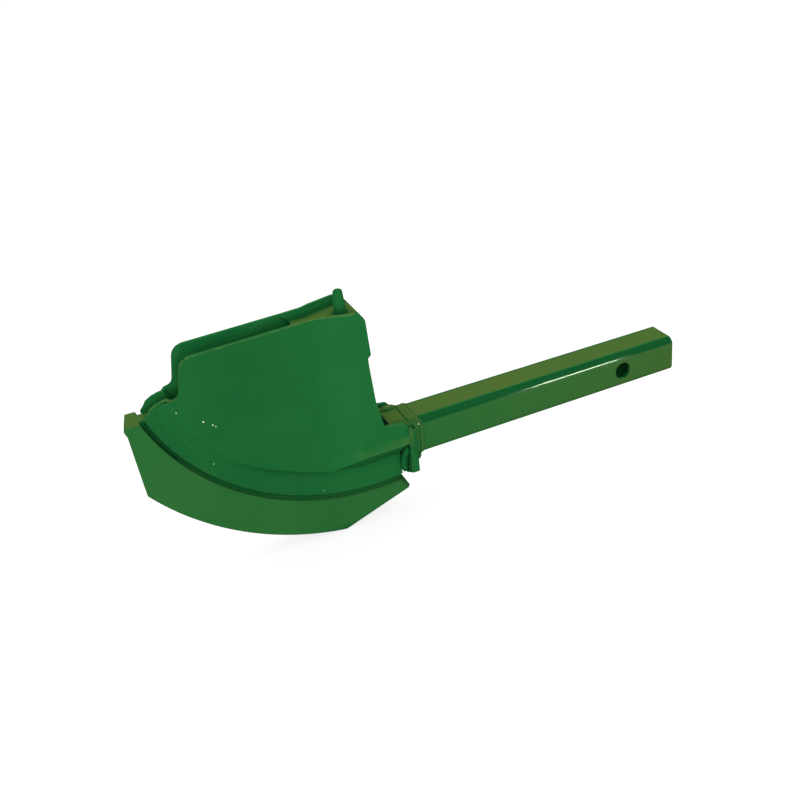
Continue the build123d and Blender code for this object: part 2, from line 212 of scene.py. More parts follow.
@dataclass(frozen=True)
class GreenEnamel:
    """Green enamel: fine orange peel, random clouds of tone, painted warm light, shade and
    highlights.

    Attributes:
        name: the material's name.
        base: the enamel's own colour.
        film: the olive colour of painted warm light, falling mostly on faces that look up.
        film_side: the painted warm light's share on upright faces.
        film_up: its share on level faces that look up.
        film_slope: its share on faces that face half up.
        film_along: its added share for each metre behind the collar.
        shoulder: painted shade, how much darker the enamel is on roundings that face half up.
        grime: painted shade, how much darker it is in corners.
        rim_film: the share of the painted warm light that stays on narrow faces that look up.
        rim_extra: the painted highlight on narrow faces, as an added share of the warm light.
        level_from: how far up a face looks where the level faces' warm light starts and is whole.
        slope_from: how far up it looks where a slope starts and is whole.
        bare_within: no painted warm light lies closer than this to the X axis, across and up.
        wear: how much lighter the rounded edges are painted, as painted highlights.
        rubbed: the colour of that painted highlight.
        mottle: how much the shade wanders, as a share.
        roughness: the enamel's mean roughness.
        shine: the weight of the clear coat on roundings.
        coat_roughness: the coat's roughness.
        coat_heights: how far up a face looks where the coat starts, is whole, fades and ends.
        coat_stations: the stations where it does the same.
        peel: the height of the sprayed surface's unevenness.
        lumps: the height of broader unevenness.
        scales: the features in a metre of the clouds, the grain, the peel and the lumps.
        corner_reach: how near another face makes a corner.
        rub_from: the levels of the noise between which an edge carries the painted highlight.
        front_shade: painted shade, how much darker the sheet is in its front half.
        front_from: the stations between which that fades out.
        bare_before: painted shade covers the shank in front of this station, between the cheeks.
        mill_scale: the near black colour of that painted shade.
    """

    name: str
    base: tuple = (0.0112, 0.150, 0.0375, 1.0)
    film: tuple = (0.135, 0.150, 0.024, 1.0)
    film_side: float = 0.03
    film_up: float = 0.50
    film_slope: float = 0.0
    film_along: float = 0.0
    shoulder: float = 0.24
    grime: float = 0.55
    rim_film: float = 0.15
    rim_extra: float = 0.0
    level_from: tuple = (0.90, 0.985)
    slope_from: tuple = (0.08, 0.40)
    bare_within: float = 0.0
    wear: float = 0.35
    rubbed: tuple = (0.12, 0.23, 0.075, 1.0)
    mottle: float = 0.10
    roughness: float = 0.24
    shine: float = 0.0
    coat_roughness: float = 0.08
    coat_heights: tuple = (0.02, 0.10, 0.45, 0.60)
    coat_stations: tuple = (-130.0 * MM, -60.0 * MM, -8.0 * MM, 16.0 * MM)
    peel: float = 0.000010
    lumps: float = 0.00005
    scales: tuple = (26.0, 380.0, 1100.0, 45.0)
    corner_reach: float = 7.0 * MM
    rub_from: tuple = (0.62, 0.92)
    front_shade: float = 0.0
    front_from: tuple = (-290.0 * MM, -225.0 * MM)
    bare_before: float = -1.0
    mill_scale: tuple = (0.002, 0.022, 0.008, 1.0)

    def build(self) -> bpy.types.Material:
        """Builds the material and returns it."""
        graph = Graph(bpy.data.materials.new(self.name))
        place = graph.node("ShaderNodeTexCoord", {}, {}, "Object")
        along = graph.axis(place, "X")
        height = graph.axis(graph.node("ShaderNodeNewGeometry", {}, {}, "Normal"), "Z")
        level = graph.smooth_step(height, *self.level_from)
        sloping = graph.smooth_step(height, *self.slope_from) * (1.0 - level)
        cloud_scale, grain_scale, peel_scale, lump_scale = self.scales
        cloud = graph.noise(place, cloud_scale, 3.0, 0.6)
        grain = graph.noise(place, grain_scale, 3.0, 0.6)
        open_share = graph.node(
            "ShaderNodeAmbientOcclusion", {"samples": 8}, {"Distance": self.corner_reach}, "AO"
        )
        # Painted light: an olive tint standing in for warm light that falls on faces looking up.
        film = self.film_share(graph, place, level, sloping)
        # The noises lie about one half, so the factors made of them lie about one.
        film = (film * open_share * open_share * (cloud * 0.6 + 0.7)).clamped()
        colour = graph.mix_colour(film, self.base, self.film)
        # Painted highlight: rounded edges turn lighter where the noise allows.
        edge = graph.node("ShaderNodeAttribute", {"attribute_name": EDGE_MARK}, {}, "Fac")
        edge_glint = edge * graph.smooth_step(grain + cloud * 0.5, *self.rub_from) * self.wear
        colour = graph.mix_colour(edge_glint.clamped(), colour, self.rubbed)
        shade = cloud * self.mottle + grain * (self.mottle * 0.6) + (1.0 - self.mottle * 0.8)
        # Painted shade on roundings that face half up, standing in for a reflection of dim
        # surroundings.
        shade = shade * (1.0 - sloping * self.shoulder)
        # Painted shade in corners, from the ambient occlusion.
        shade = shade * (open_share * self.grime + (1.0 - self.grime))
        # Painted shade: the sheet's front half is darker.
        front = 1.0 - graph.smooth_step(along, *self.front_from)
        shade = shade * (1.0 - front * self.front_shade)
        colour = graph.node(
            "ShaderNodeVectorMath", {"operation": "SCALE"}, {0: colour, "Scale": shade}
        )
        # Painted shade: in front of the station the shank turns near black, as the shade between
        # the cheeks.
        painted = graph.smooth_step(
            along + cloud * 0.6 * MM, self.bare_before - 0.1 * MM, self.bare_before + 0.7 * MM
        )
        colour = graph.mix_colour(painted, self.mill_scale, colour)
        peel = graph.noise(place, peel_scale, 2.0) * self.peel
        bumps = peel + graph.noise(place, lump_scale, 2.0) * self.lumps
        shader = graph.node(
            "ShaderNodeBsdfPrincipled",
            {},
            {
                "Base Color": colour,
                "Roughness": grain * 0.10 + film * 0.20 + (self.roughness - 0.05),
                "Normal": graph.node("ShaderNodeBump", {}, {"Distance": 1.0, "Height": bumps}),
                # At a glancing angle a sheen of the white surroundings would turn the green grey.
                "Specular IOR Level": 0.0,
                "Coat Weight": self.coat(graph, height, along),
                "Coat Roughness": self.coat_roughness,
            },
        )
        graph.show(shader)
        return graph.owner

    def coat(self, graph: Graph, height: Shade, along: Shade) -> "Shade | float":
        """The clear coat's weight, which only roundings along the bar's middle carry.

        Args:
            graph: the material's graph.
            height: how far the surface faces up.
            along: the station.

        Returns:
            The weight.
        """
        if self.shine == 0.0:
            return 0.0
        rounding = graph.window(height, *self.coat_heights)
        return rounding * graph.window(along, *self.coat_stations) * self.shine

    def film_share(self, graph: Graph, place: Shade, level: Shade, sloping: Shade) -> Shade:
        """The painted warm light's share before corners and clouds thin it.

        Args:
            graph: the material's graph.
            place: the object coordinates.
            level: how level the face is.
            sloping: how much it slopes.

        Returns:
            The share.
        """
        narrow = graph.node("ShaderNodeAttribute", {"attribute_name": RIM_MARK}, {}, "Fac")
        behind = (graph.axis(place, "X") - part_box("collar_plate")[1].x).clamped()
        upright = behind * self.film_along + self.film_side
        level_light = (1.0 - narrow * (1.0 - self.rim_film)) * self.film_up
        side_light = upright * (1.0 - sloping) + sloping * self.film_slope
        film = side_light * (1.0 - level) + level * level_light
        # Painted highlight on narrow faces such as arrises.
        film = film + narrow * self.rim_extra
        if self.bare_within > 0.0:
            film = film * self.outside(graph, place)
        return film

    def outside(self, graph: Graph, place: Shade) -> Shade:
        """Where a face lies outside the square round the X axis that gets no painted warm light.

        Args:
            graph: the material's graph.
            place: the object coordinates.

        Returns:
            One outside the square and zero inside it.
        """
        across = graph.math("ABSOLUTE", graph.axis(place, "Y"), 0.0)
        up = graph.math("ABSOLUTE", graph.axis(place, "Z"), 0.0)
        far = graph.math("MAXIMUM", across, up)
        return graph.smooth_step(far, self.bare_within, self.bare_within + 0.5 * MM)


def finished(
    bm: bmesh.types.BMesh, name: str, material: bpy.types.Material, smooth: float
) -> bpy.types.Object:
    """Turns a bmesh into a piece that rides on the body.

    Args:
        bm: the mesh, in metres and in place; it is freed.
        name: the piece's name.
        material: its finish.
        smooth: the angle in degrees under which edges are shaded smooth.

    Returns:
        The piece.
    """
    mesh = bpy.data.meshes.new(name)
    bm.to_mesh(mesh)
    bm.free()
    mesh.materials.append(material)
    mesh.polygons.foreach_set("use_smooth", [True] * len(mesh.polygons))
    mesh.set_sharp_from_angle(angle=math.radians(smooth))
    piece = bpy.data.objects.new(name, mesh)
    bpy.context.scene.collection.objects.link(piece)
    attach(piece, BODY)
    log.info("%s: %d faces", name, len(mesh.polygons))
    return piece


def bevelled(bm: bmesh.types.BMesh, edges: list, radius: float, steps: int) -> list:
    """Rounds edges and returns the new faces."""
    made = bmesh.ops.bevel(
        bm,
        geom=edges,
        offset=radius,
        offset_type="OFFSET",
        segments=steps,
        profile=0.5,
        affect="EDGES",
        clamp_overlap=False,
        material=-1,
    )
    return made["faces"]


@dataclass
class RoundedPlate:
    """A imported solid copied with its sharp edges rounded.

    Attributes:
        node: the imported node.
        name: the new piece's name.
        edge: the radius of the rounded rims.
        bend: the radius of the rounded bends.
        crease: edges that turn by more than this many degrees are bends.
        rim: edges that turn by more than this many degrees are rims.
        steps: the number of faces across a rounded edge.
        merge: points closer than this are joined first.
        flat: faces that turn by less than this many degrees are joined too.
        shortest: edges shorter than this stay as they are.
        thinnest: edges beside a face narrower than this stay as they are.
        narrow: faces narrower than this are marked as rims.
    """

    node: str
    name: str
    edge: float = 0.5 * MM
    bend: float = 0.9 * MM
    crease: float = 20.0
    rim: float = 62.0
    steps: int = 3
    merge: float = 0.2 * MM
    flat: float = 0.4
    shortest: float = 0.3 * MM
    thinnest: float = 1.1 * MM
    narrow: float = 3.6 * MM

    def build(self, material: bpy.types.Material) -> None:
        """Builds the piece, which stands for its node.

        Args:
            material: the finish.
        """
        bm = bmesh.new()
        bm.from_mesh(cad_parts[self.node].data)
        self.reshape(bm)
        bmesh.ops.remove_doubles(bm, verts=bm.verts, dist=self.merge)
        bmesh.ops.dissolve_degenerate(bm, edges=bm.edges, dist=self.merge)
        bmesh.ops.dissolve_limit(
            bm, angle_limit=math.radians(self.flat), verts=bm.verts, edges=bm.edges
        )
        rim_mark = bm.loops.layers.float.new(RIM_MARK)
        for face in bm.faces:
            for loop in face.loops:
                loop[rim_mark] = float(self.width_of(face) < self.narrow)
        mark = bm.loops.layers.float.new(EDGE_MARK)
        for face in self.round_off(bm, self.rim, 180.0, self.edge):
            for loop in face.loops:
                loop[mark] = loop[rim_mark] = 1.0
        self.round_off(bm, self.crease, self.rim, self.bend)
        piece = finished(bm, self.name, material, smooth=50.0)
        weighted = piece.modifiers.new("even_normals", "WEIGHTED_NORMAL")
        weighted.keep_sharp = True
        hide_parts(self.node)

    def reshape(self, bm: bmesh.types.BMesh) -> None:
        """Leaves the form as it is; the cheeks change it a little."""

    def round_off(
        self, bm: bmesh.types.BMesh, least: float, most: float, radius: float
    ) -> list:
        """Rounds the edges that turn by an angle in a range.

        Args:
            bm: the mesh.
            least: the least angle in degrees.
            most: the greatest angle in degrees.
            radius: how far the rounding reaches on each side.

        Returns:
            The new faces.
        """
        low, high = math.radians(least), math.radians(most)
        chosen = [
            edge
            for edge in bm.edges
            if edge.is_manifold
            and low < edge.calc_face_angle(0.0) <= high
            and edge.calc_length() > self.shortest
            and all(self.width_of(face) > self.thinnest for face in edge.link_faces)
        ]
        if not chosen:
            return []
        return bevelled(bm, chosen, radius, self.steps)

    def width_of(self, face: bmesh.types.BMFace) -> float:
        """A face's area over its longest edge."""
        return face.calc_area() / max(edge.calc_length() for edge in face.edges)


@dataclass
class CheekSheet(RoundedPlate):
    """A pressed cheek, with its flare set flush and its lap's lip eased.

    Attributes:
        side: which side of the coulter.
        flare_x: the station where the flare starts.
        panel_faces: the distances of the panel's two faces from the middle plane.
        flare_reach: how far from there a point still belongs to the start.
        flush: how far such a point may lie off a panel face.
        lip_start: the station where the lap's top edge begins to fall.
        lip_floor: the lip lies above this height.
        lip_fall: how much it falls for each metre.
    """

    edge: float = 0.55 * MM
    crease: float = 9.0
    side: Side = Side.NEAR
    flare_x: float = -247.0 * MM
    panel_faces: tuple = (9.3 * MM, 12.3 * MM)
    flare_reach: float = 0.035 * MM
    flush: float = 0.35 * MM
    lip_start: float = -206.0 * MM
    lip_floor: float = 13.0 * MM
    lip_fall: float = 0.13

    def reshape(self, bm: bmesh.types.BMesh) -> None:
        """Sets the small step at the flare's start flush and lets the lap's lip fall.

        Args:
            bm: the cheek's mesh.
        """
        for vert in bm.verts:
            if vert.co.x > self.lip_start and vert.co.z > self.lip_floor:
                vert.co.z -= (vert.co.x - self.lip_start) * self.lip_fall
        for vert in bm.verts:
            if abs(vert.co.x - self.flare_x) > self.flare_reach:
                continue
            for level in self.panel_faces:
                target = self.side.value * level
                if abs(vert.co.y - target) < self.flush:
                    vert.co.y = target


@dataclass
class WeldBead:
    """A weld bead laid along a path, with the ripples of its runs.

    Attributes:
        name: the piece's name.
        nodes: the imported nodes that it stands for.
        path: the centre line's points, each with a size factor as its fourth number.
        hub: a point that the bead's crown faces away from.
        radius: the bead's half width.
        crown: the bead's height as a share of its half width.
        closed: whether the path is a ring.
        pitch: the spacing of the ripples.
        ripple: the ripples' height as a share of the radius.
        wander: the random change of the radius, as a share.
        ends: the share of the half width that an open bead keeps at its ends.
        taper: the length over which it grows to the full width, in half widths.
        seed: the start of the random draws.
        draws: how many random levels are drawn.
        reach: how many neighbours on each side a direction is averaged over.
        sides: the number of points round the bead.
        step: the spacing of the rings of points.
    """

    name: str
    nodes: tuple
    path: list
    hub: tuple
    radius: float
    crown: float = 0.6
    closed: bool = False
    pitch: float = 1.6 * MM
    ripple: float = 0.16
    wander: float = 0.07
    ends: float = 0.35
    taper: float = 1.2
    seed: int = 1
    draws: int = 64
    reach: int = 3
    sides: int = 14
    step: float = 0.4 * MM

    def stations(self) -> list:
        """Walks the path in even steps.

        Returns:
            Tuples of the distance walked, the point with its size factor, and the direction.
        """
        points = [Vector(p) for p in self.path]
        if self.closed:
            points.append(points[0])
        lengths = [0.0]
        for a, b in zip(points, points[1:]):
            lengths.append(lengths[-1] + (b - a).xyz.length)
        total = lengths[-1]
        count = max(int(total / self.step), 4)
        found = []
        leg = 0
        for i in range(count if self.closed else count + 1):
            walked = total * i / count
            while leg < len(points) - 2 and lengths[leg + 1] < walked:
                leg += 1
            share = (walked - lengths[leg]) / (lengths[leg + 1] - lengths[leg])
            point = points[leg].lerp(points[leg + 1], share)
            found.append((walked, point, (points[leg + 1] - points[leg]).xyz.normalized()))
        return self.evened(found)

    def evened(self, found: list) -> list:
        """Averages the directions of neighbouring stations.

        Args:
            found: the stations.

        Returns:
            The stations with turning directions.
        """
        count = len(found)
        evened = []
        for i, (walked, point, _) in enumerate(found):
            total = Vector()
            for k in range(-self.reach, self.reach + 1):
                j = (i + k) % count if self.closed else min(max(i + k, 0), count - 1)
                total += found[j][2]
            evened.append((walked, point, total.normalized()))
        return evened

    def width_at(self, walked: float, total: float, noise: list) -> float:
        """The bead's half width at a distance along it.

        Args:
            walked: the distance from the start.
            total: the bead's length.
            noise: random levels, one for each ripple.

        Returns:
            The half width in metres.
        """
        turn = walked / self.pitch
        wave = 1.0 - self.ripple * (turn % 1.0) ** 2
        level = 1.0 + self.wander * noise[int(turn) % len(noise)]
        if self.closed:
            return self.radius * wave * level
        end = min(walked, total - walked) / (self.radius * self.taper)
        grown = math.sqrt(min(max(end, 0.0), 1.0))
        return self.radius * wave * level * (self.ends + (1.0 - self.ends) * grown)

    def ring_frame(self, point: Vector, direction: Vector) -> Matrix:
        """The frame of one ring: crown, side and direction.

        Args:
            point: the ring's centre.
            direction: the path's direction there.

        Returns:
            The ring's matrix, squashed across the crown.
        """
        away = point - Vector(self.hub)
        away = (away - away.dot(direction) * direction).normalized()
        side = direction.cross(away)
        axes = Matrix((away * self.crown, side, direction)).transposed().to_4x4()
        return Matrix.Translation(point) @ axes

    def build(self, material: bpy.types.Material) -> None:
        """Builds the bead.

        Args:
            material: the finish.
        """
        rng = random.Random(self.seed)
        noise = [rng.uniform(-1.0, 1.0) for _ in range(self.draws)]
        stations = self.stations()
        total = stations[-1][0]
        bm = bmesh.new()
        rings = []
        for walked, point, direction in stations:
            made = bmesh.ops.create_circle(
                bm,
                segments=self.sides,
                radius=self.width_at(walked, total, noise) * point.w,
                matrix=self.ring_frame(point.xyz, direction),
            )
            rings.append(list(dict.fromkeys(e for v in made["verts"] for e in v.link_edges)))
        pairs = list(zip(rings, rings[1:]))
        if self.closed:
            pairs.append((rings[-1], rings[0]))
        for first, second in pairs:
            bmesh.ops.bridge_loops(bm, edges=first + second)
        if not self.closed:
            bmesh.ops.contextual_create(bm, geom=rings[0])
            bmesh.ops.contextual_create(bm, geom=rings[-1])
        bmesh.ops.recalc_face_normals(bm, faces=bm.faces)
        piece = finished(bm, self.name, material, smooth=60.0)
        if self.nodes:
            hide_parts(*self.nodes)


@dataclass
class PlateWork:
    """The plates, the shank and the runner, with rounded edges.

    Attributes:
        work: pairs of a finish and the plates that carry it.
    """

    work: tuple = (
        (
            GreenEnamel(
                "sheet_enamel", film_up=0.45, film_slope=0.18, shoulder=0.0, front_shade=0.13,
                wear=0.55, mottle=0.24,
            ),
            (
                CheekSheet("near_cheek", "near_cheek_sheet"),
                RoundedPlate("collar_plate", "collar", 0.6 * MM),
                RoundedPlate("rear_wall", "rear_closing_wall", 0.4 * MM),
            ),
        ),
        (
            GreenEnamel("tray_enamel", wear=0.0),
            (RoundedPlate("throat_plate", "throat_tray", 0.4 * MM),),
        ),
        (
            # Painted shade: the far cheek's copy carries little painted warm light and no painted
            # edge highlight, for the near cheek's shade.
            GreenEnamel("far_sheet_enamel", wear=0.0, film_up=0.08),
            (CheekSheet("far_cheek", "far_cheek_sheet", side=Side.FAR),),
        ),
        (
            GreenEnamel(
                "shank_enamel", film_side=0.12, film_along=0.95, shoulder=0.44,
                level_from=(0.95, 0.998), bare_within=13.0 * MM, grime=0.15, shine=0.8,
                lumps=0.00002, bare_before=-199.6 * MM,
            ),
            (RoundedPlate("shank_tube", "square_shank", 0.4 * MM),),
        ),
        (
            GreenEnamel("runner_enamel", film_side=0.12, rim_extra=0.16, wear=0.1, mottle=0.22),
            (RoundedPlate("runner_blade", "runner", 0.3 * MM, thinnest=2.2 * MM),),
        ),
    )

    def build(self) -> None:
        """Builds every plate in its finish."""
        for finish, plates in self.work:
            material = finish.build()
            for plate in plates:
                plate.build(material)


@dataclass
class WeldWork:
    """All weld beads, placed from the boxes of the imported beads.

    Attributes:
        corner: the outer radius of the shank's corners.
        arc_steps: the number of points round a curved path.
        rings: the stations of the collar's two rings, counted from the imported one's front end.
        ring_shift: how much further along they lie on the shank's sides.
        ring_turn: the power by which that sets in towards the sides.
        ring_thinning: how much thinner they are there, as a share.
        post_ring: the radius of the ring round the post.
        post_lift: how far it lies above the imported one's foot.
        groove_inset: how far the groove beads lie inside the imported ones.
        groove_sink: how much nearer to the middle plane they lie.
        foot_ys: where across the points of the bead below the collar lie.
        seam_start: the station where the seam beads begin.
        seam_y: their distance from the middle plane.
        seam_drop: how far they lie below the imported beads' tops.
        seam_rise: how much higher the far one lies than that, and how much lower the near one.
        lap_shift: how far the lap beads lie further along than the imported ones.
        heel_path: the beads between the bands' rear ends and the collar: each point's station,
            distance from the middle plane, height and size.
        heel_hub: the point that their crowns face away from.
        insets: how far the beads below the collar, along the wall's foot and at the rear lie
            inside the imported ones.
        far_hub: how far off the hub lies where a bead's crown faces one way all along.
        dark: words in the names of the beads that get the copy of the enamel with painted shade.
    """

    corner: float = 5.8 * MM
    arc_steps: int = 40
    rings: tuple = (1.4 * MM, -2.2 * MM)
    ring_shift: float = 4.3 * MM
    ring_turn: int = 6
    ring_thinning: float = 0.1
    post_ring: float = 4.7 * MM
    post_lift: float = 0.2 * MM
    groove_inset: float = 0.7 * MM
    groove_sink: float = 0.2 * MM
    foot_ys: tuple = (-15.5 * MM, -5.0 * MM, 5.0 * MM, 15.5 * MM)
    seam_start: float = -199.6 * MM
    seam_y: float = 12.6 * MM
    seam_drop: float = 1.6 * MM
    seam_rise: float = 0.6 * MM
    lap_shift: float = 1.6 * MM
    heel_path: tuple = (
        (-189.7 * MM, 13.8 * MM, -4.0 * MM, 0.7),
        (-189.9 * MM, 12.8 * MM, -9.0 * MM, 0.9),
        (-190.5 * MM, 9.6 * MM, -16.0 * MM, 1.0),
        (-190.7 * MM, 8.4 * MM, -22.0 * MM, 0.95),
        (-190.7 * MM, 8.4 * MM, -29.0 * MM, 0.95),
    )
    heel_hub: tuple = (-191.5 * MM, 0.0, -16.0 * MM)
    insets: tuple = (1.0 * MM, 0.7 * MM, 0.6 * MM)
    far_hub: float = 1.0
    dark: tuple = ("groove", "heel", "post")

    def ring_round_shank(self, x: float) -> list:
        """Closed path round the shank, further along on its sides than on top.

        Args:
            x: the station of the ring on top of the shank.

        Returns:
            The path's points with their sizes.
        """
        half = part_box("shank_tube")[1].y
        flat = half - self.corner
        points = []
        per_corner = self.arc_steps // 4
        for quarter in range(4):
            start = quarter * math.pi / 2
            sign_y = 1 if math.cos(start + math.pi / 4) > 0 else -1
            sign_z = 1 if math.sin(start + math.pi / 4) > 0 else -1
            for i in range(per_corner + 1):
                angle = start + (math.pi / 2) * i / per_corner
                y = sign_y * flat + self.corner * math.cos(angle)
                z = sign_z * flat + self.corner * math.sin(angle)
                aside = min(abs(y) / half, 1.0) ** self.ring_turn
                size = 1.0 - self.ring_thinning * aside
                points.append((x + self.ring_shift * aside, y, z, size))
        return points

    def circle(self, centre: Vector, radius: float) -> list:
        """Closed level circle of points of size 1."""
        turns = [2 * math.pi * i / self.arc_steps for i in range(self.arc_steps)]
        return [
            (centre.x + radius * math.cos(a), centre.y + radius * math.sin(a), centre.z, 1.0)
            for a in turns
        ]

    def groove_path(self, side: Side) -> list:
        """Path of the bead in the groove, on the circle through its packed box.

        Args:
            side: which side of the coulter.

        Returns:
            The path's points with their sizes.
        """
        low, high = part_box(f"{side.word}_groove_bead")
        radius = (ARC_CENTRE.z - low.z) - self.groove_inset
        start = math.asin((high.x - ARC_CENTRE.x) / radius)
        end = -math.acos(min((ARC_CENTRE.z - high.z) / radius, 1.0))
        y = (low.y + high.y) / 2 - side.value * self.groove_sink
        steps = self.arc_steps * 2
        angles = [start + (end - start) * i / steps for i in range(steps + 1)]
        return [
            (ARC_CENTRE.x + radius * math.sin(a), y, ARC_CENTRE.z - radius * math.cos(a), 1.0)
            for a in angles
        ]

    def middle_beads(self) -> list:
        """The beads that cross the middle plane, ready to build."""
        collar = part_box("collar_bead")[0]
        foot_low, foot_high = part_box("collar_foot_bead")
        post_low, post_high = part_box("post_bead")
        wall_low, wall_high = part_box("wall_foot_bead")
        post_foot = Vector(((post_low.x + post_high.x) / 2, 0.0, post_low.z + self.post_lift))
        foot_inset, wall_inset, _ = self.insets
        foot_x, foot_z = foot_low.x + foot_inset, foot_high.z - foot_inset
        wall_x, wall_z = wall_low.x + wall_inset, wall_low.z + wall_inset
        return [
            WeldBead(
                "collar_weld", ("collar_bead",), self.ring_round_shank(collar.x + self.rings[0]),
                (collar.x, 0.0, 0.0), 2.8 * MM, crown=0.42, closed=True, pitch=2.4 * MM,
                ripple=0.12, seed=3,
            ),
            WeldBead(
                "collar_root_weld", (), self.ring_round_shank(collar.x + self.rings[1]),
                (collar.x, 0.0, 0.0), 2.6 * MM, crown=0.40, closed=True, pitch=2.9 * MM,
                ripple=0.15, seed=7,
            ),
            WeldBead(
                "collar_foot_weld", ("collar_foot_bead",),
                [(foot_x, y, foot_z, 1.0) for y in self.foot_ys],
                (foot_x - self.far_hub, 0.0, foot_z + self.far_hub), 5.4 * MM, crown=0.72,
                pitch=2.6 * MM, seed=4,
            ),
            WeldBead(
                "post_weld", ("post_bead",),
                self.circle(post_foot, self.post_ring),
                (post_foot.x, 0.0, post_low.z - 0.01), 0.9 * MM, crown=0.5, closed=True, seed=5,
            ),
            WeldBead(
                "wall_foot_weld", ("wall_foot_bead",),
                [(wall_x, wall_low.y, wall_z, 1.0), (wall_x, wall_high.y, wall_z, 1.0)],
                (wall_x - self.far_hub, 0.0, wall_z - self.far_hub), 2.1 * MM, crown=0.8, seed=6,
            ),
        ]

    def side_beads(self, side: Side) -> list:
        """The beads of one side.

        Args:
            side: which side of the coulter.

        Returns:
            The beads, ready to build.
        """
        word, sign = side.word, side.value
        seam_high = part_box(f"{word}_seam_bead")[1]
        lap_low, lap_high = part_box(f"{word}_lap_bead")
        rear_low, rear_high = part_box(f"{word}_rear_bead")
        lap_x = (lap_low.x + lap_high.x) / 2 + self.lap_shift
        lap_y = sign * min(abs(lap_low.y), abs(lap_high.y))
        rear_y = sign * min(abs(rear_low.y), abs(rear_high.y))
        rear_x = rear_low.x + self.insets[2]
        seam_y = sign * self.seam_y
        seam_z = seam_high.z - self.seam_drop + sign * self.seam_rise
        return [
            WeldBead(
                f"{word}_seam_weld", (f"{word}_seam_bead",),
                [
                    (self.seam_start, seam_y, seam_z, 1.0),
                    (seam_high.x - 3.0 * MM, seam_y, seam_z, 1.0),
                    (seam_high.x + 4.6 * MM, seam_y, seam_z - 1.6 * MM, 0.9),
                ],
                (seam_high.x, seam_y * 0.85, 0.0), 4.6 * MM, crown=0.46, pitch=2.2 * MM,
                ripple=0.10, seed=10 + sign,
            ),
            WeldBead(
                f"{word}_lap_weld", (f"{word}_lap_bead",),
                [
                    (lap_x, lap_y, lap_low.z - 6.0 * MM, 0.8),
                    (lap_x, lap_y, lap_low.z + 2.0 * MM, 1.1),
                    (lap_x, lap_y, lap_high.z, 1.2),
                    (lap_x, lap_y - sign * 1.0 * MM, lap_high.z + 3.0 * MM, 1.0),
                ],
                (lap_x, 0.0, lap_low.z), 2.1 * MM, pitch=2.2 * MM, seed=20 + sign,
            ),
            WeldBead(
                f"{word}_groove_weld", (f"{word}_groove_bead",), self.groove_path(side),
                tuple(ARC_CENTRE), 0.95 * MM, crown=0.9, pitch=2.0 * MM, seed=30 + sign,
            ),
            WeldBead(
                f"{word}_heel_weld", (),
                [(x, sign * y, z, size) for x, y, z, size in self.heel_path], self.heel_hub,
                3.5 * MM, crown=0.95, pitch=1.5 * MM, ripple=0.05, wander=0.06, seed=50 + sign,
            ),
            WeldBead(
                f"{word}_rear_weld", (f"{word}_rear_bead",),
                [
                    (rear_x, rear_y + sign * 1.4 * MM, rear_low.z, 1.0),
                    (rear_x, rear_y + sign * 3.6 * MM, rear_high.z, 1.0),
                ],
                (rear_x - self.far_hub, 0.0, rear_low.z), 1.7 * MM, crown=0.9, seed=40 + sign,
            ),
        ]

    def build(self) -> None:
        """Builds every bead; those in recesses get a copy of the enamel with painted shade."""
        beads = self.middle_beads()
        for side in Side:
            beads += self.side_beads(side)
        lit_weld = GreenEnamel(
            "weld_enamel", film_side=0.22, film_slope=0.3, grime=0.4, lumps=0.00012
        ).build()
        # Painted shade: the same enamel with no painted warm light, no painted highlight and more
        # shade in corners.
        shaded_weld = GreenEnamel(
            "groove_enamel", film_side=0.0, film_up=0.0, wear=0.0, grime=0.8
        ).build()
        for bead in beads:
            recessed = any(word in bead.name for word in self.dark)
            bead.build(shaded_weld if recessed else lit_weld)


